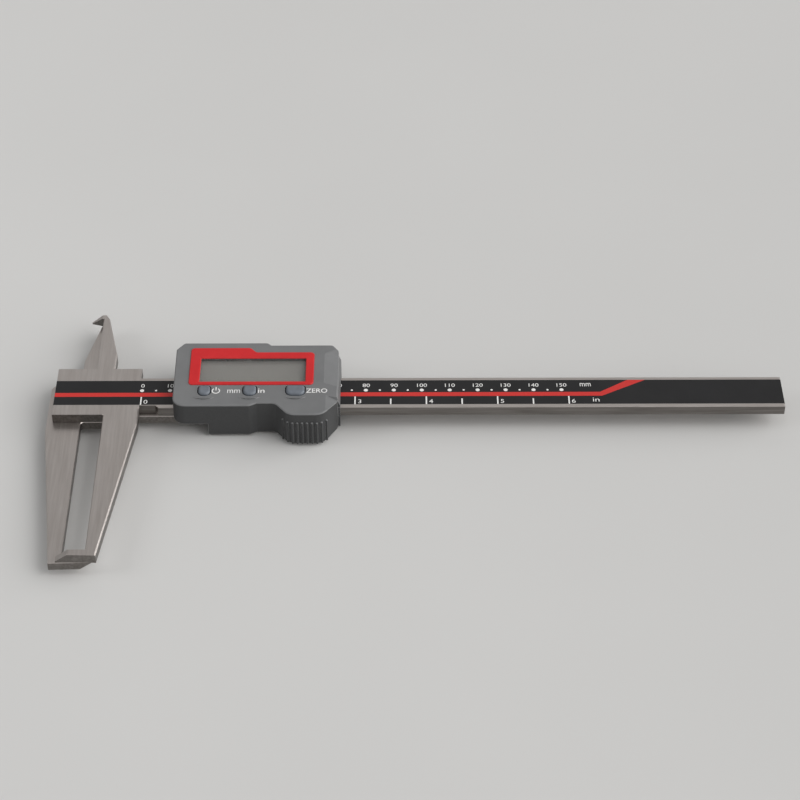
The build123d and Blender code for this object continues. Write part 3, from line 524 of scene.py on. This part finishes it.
NODE_FINISH = {
    "beam": "beam", "moving_jaw": "moving_jaw", "rear_cover": "rear_cover",
    "front_rail": "rails", "back_rail": "rails", "end_stop": "rails",
    "scale_label": "film", "scale_grating": "grating",
    "housing": "housing", "display_bezel": "bezel", "lcd_window": "window", "lcd_panel": "display",
    "power_button": "key", "unit_button": "key", "zero_button": "key",
    "battery_cap": "cap", "cap_seal": "seal", "measuring_chip": "chip",
    "contact_strips": "elastomer", "circuit_board": "board", "sensor_board": "board",
    "gib_strip": "bronze", "lock_pad": "bronze", "cell_contacts": "bronze",
    "lock_screw": "nickel", "quartz_crystal": "nickel", "key_domes": "nickel", "button_cell": "can",
    "end_stop_screws": "screw", "rail_screws": "screw", "gib_screws": "screw",
    "board_screws": "screw", "housing_screws": "screw", "plate_screws": "screw",
}

for node, finish in NODE_FINISH.items():
    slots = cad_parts[node].data.materials
    slots.clear()
    slots.append(FINISHES[finish])

# ------------------------------------------------------------------ printing on the beam

WHITE_INK = ink("white_ink", (0.86, 0.86, 0.85), (0.92, 0.92, 0.91))
RED_INK = ink("red_ink", (0.60, 0.026, 0.022), (0.67, 0.032, 0.027))

LAST_MARK = 150
DOT_ROW = 1.17
DOT_RADIUS, HALF_DOT_RADIUS = 0.74, 0.4
DIGIT_ROW = (2.85, 4.65)
DIGIT_SHIFT = 0.12
INCH = 25.4
LAST_INCH = 6
TICK_WIDTH = 0.5
TICK_LOW = LABEL_FRONT + PRINT_INSET
TICK_TOP = -2.25
HALF_TICK_TOP = -3.4
INCH_DIGIT_ROW = (-5.85, -3.85)
INCH_DIGIT_SHIFT = 1.65
MM_SPAN, MM_ROW = (156.7, 160.6), (3.0, 4.75)
IN_SPAN, IN_ROW = (160.9, 163.25), (-5.2, -3.2)

marks = Printing(0.0)
for mark in range(0, LAST_MARK + 1, 10):
    marks.dot(mark, DOT_ROW, DOT_RADIUS)
    if mark < LAST_MARK:
        marks.dot(mark + 5, DOT_ROW, HALF_DOT_RADIUS)
    marks.text(str(mark), mark + DIGIT_SHIFT, DIGIT_ROW)
for inch in range(LAST_INCH + 1):
    marks.bar(inch * INCH, TICK_WIDTH, TICK_LOW, TICK_TOP)
    marks.text(str(inch), inch * INCH + INCH_DIGIT_SHIFT, INCH_DIGIT_ROW)
    if inch < LAST_INCH:
        marks.bar((inch + 0.5) * INCH, TICK_WIDTH, TICK_LOW, HALF_TICK_TOP)
marks.text("mm", MM_SPAN, MM_ROW)
marks.text("in", IN_SPAN, IN_ROW)
marks.build("scale_marks", "beam", WHITE_INK)

# The stripe runs level, then slants up off the back edge of the label
STRIPE_LEFT = LABEL_START + PRINT_INSET
STRIPE_LOW, STRIPE_HIGH = -2.12, -0.02
STRIPE_TOP = LABEL_BACK - PRINT_INSET
SLANT_START, SLANT_END = (163.7, 164.3), (173.9, 180.3)

stripe = Printing(0.0)
stripe.prism([
    (STRIPE_LEFT, STRIPE_LOW), (SLANT_START[1], STRIPE_LOW), (SLANT_END[1], STRIPE_TOP),
    (SLANT_END[0], STRIPE_TOP), (SLANT_START[0], STRIPE_HIGH), (STRIPE_LEFT, STRIPE_HIGH),
])
stripe.build("scale_stripe", "beam", RED_INK)

# ------------------------------------------------------------------ legends on the housing

HOUSING_FACE = 5.0
LETTER_FOOT, LETTER_TOP = -5.85, -3.6
SMALL_LETTER_TOP = -4.1
LETTER_BOLD = 0.006
MM_LEGEND, IN_LEGEND, ZERO_LEGEND = (31.0, 35.5), (41.9, 44.2), (58.9, 66.4)

# The power sign: a ring open at the top, and a bar through the gap
POWER_X, POWER_Y = 26.95, -4.7
POWER_RADIUS = 1.3
POWER_LINE = 0.38
POWER_GAP = 70
POWER_BAR_LOW, POWER_BAR_HIGH = 0.2, 2.0

legends = Printing(HOUSING_FACE)
legends.text("mm", MM_LEGEND, (LETTER_FOOT, SMALL_LETTER_TOP))
legends.text("in", IN_LEGEND, (LETTER_FOOT, LETTER_TOP), LETTER_BOLD)
legends.text("ZERO", ZERO_LEGEND, (LETTER_FOOT, LETTER_TOP), LETTER_BOLD)
legends.arc(
    POWER_X, POWER_Y, POWER_RADIUS, POWER_LINE, 90 + POWER_GAP / 2, 450 - POWER_GAP / 2)
legends.bar(POWER_X, POWER_LINE, POWER_Y + POWER_BAR_LOW, POWER_Y + POWER_BAR_HIGH)
legends.build("housing_legends", "slider", WHITE_INK)


# ------------------------------------------------------------------ floor, lights, camera

# In metres, as the lights below
FLOOR_HALF = 12.0
FLOOR_GAP = 0.00005
CENTRE = (0, 0, 0)
WARM, COOL, LOW_WARM = (1.0, 0.99, 0.975), (0.98, 0.99, 1.0), (1.0, 0.985, 0.965)
ROOM_COLOUR = (0.84, 0.83, 0.82)
ROOM_POWER = 0.30


def floor():
    surface = Surface("floor_paper")
    cloud = surface.noise(260.0, 3.0, 0.5)
    grain = surface.noise(0.9, 4.0, 0.6)
    surface.colour(surface.ramp(cloud, (0.64, 0.64, 0.635), (0.67, 0.67, 0.665)))
    surface.roughness(surface.span(grain, 0.75, 0.85))
    surface.bump([(grain, 0.02, 0.2)])
    mesh = bpy.data.meshes.new("floor")
    signs = ((-1, -1), (1, -1), (1, 1), (-1, 1))
    corners = [(x * FLOOR_HALF, y * FLOOR_HALF, 0) for x, y in signs]
    mesh.from_pydata(corners, [], [(0, 1, 2, 3)])
    sheet = bpy.data.objects.new("floor", mesh)
    sheet.location.z = -FLOOR_GAP
    bpy.context.scene.collection.objects.link(sheet)
    mesh.materials.append(surface.material)


def place_light(name, kind, position, power, colour):
    """A light at a position in metres, turned to the centre."""
    light = bpy.data.lights.new(name, kind)
    light.energy = power
    light.color = colour
    holder = bpy.data.objects.new(name, light)
    holder.location = position
    aim = Vector(CENTRE) - Vector(position)
    holder.rotation_euler = aim.to_track_quat("-Z", "Y").to_euler()
    bpy.context.scene.collection.objects.link(holder)
    return light


def area_light(name, position, size, power, colour):
    light = place_light(name, "AREA", position, power, colour)
    light.shape = "RECTANGLE"
    light.size, light.size_y = size


def far_light(name, position, width, power, colour):
    """A soft light from one side, width degrees across, as bright all over the floor."""
    light = place_light(name, "SUN", position, power, colour)
    light.angle = math.radians(width)


def lights():
    area_light("overhead", (0.05, 0.1, 1.3), (0.9, 0.8), 1.6, WARM)
    far_light("right_side", (1.25, -0.12, 0.62), 78.0, 3.05, WARM)
    area_light("left_side", (-1.2, -0.12, 0.78), (0.6, 0.5), 2.5, COOL)
    area_light("back", (0.12, 1.15, 0.95), (1.5, 0.5), 0.86, LOW_WARM)
    area_light("front", (0.0, -1.2, 0.85), (1.5, 0.6), 0.9, LOW_WARM)


def room():
    """Even light from all round."""
    world = bpy.data.worlds.new("studio")
    bpy.context.scene.world = world
    world.use_nodes = True
    background = world.node_tree.nodes["Background"]
    background.inputs["Color"].default_value = (*ROOM_COLOUR, 1)
    background.inputs["Strength"].default_value = ROOM_POWER


def camera():
    data = bpy.data.cameras.new("camera")
    data.lens = CAMERA_LENS
    data.sensor_width = CAMERA_SENSOR
    data.clip_start = 0.01
    holder = bpy.data.objects.new("camera", data)
    bpy.context.scene.collection.objects.link(holder)
    cos_e = math.cos(CAMERA_ELEVATION)
    forward = Vector((
        math.sin(CAMERA_AZIMUTH) * cos_e, math.cos(CAMERA_AZIMUTH) * cos_e,
        -math.sin(CAMERA_ELEVATION),
    ))
    turn = forward.to_track_quat("-Z", "Y").to_matrix() @ Matrix.Rotation(-CAMERA_ROLL, 3, "Z")
    holder.matrix_world = Matrix.Translation(at(*AIM) - forward * CAMERA_DISTANCE) @ turn.to_4x4()
    bpy.context.scene.camera = holder
    bpy.context.scene.view_settings.view_transform = "Standard"


floor()
lights()
room()
camera()

bpy.context.view_layer.update()
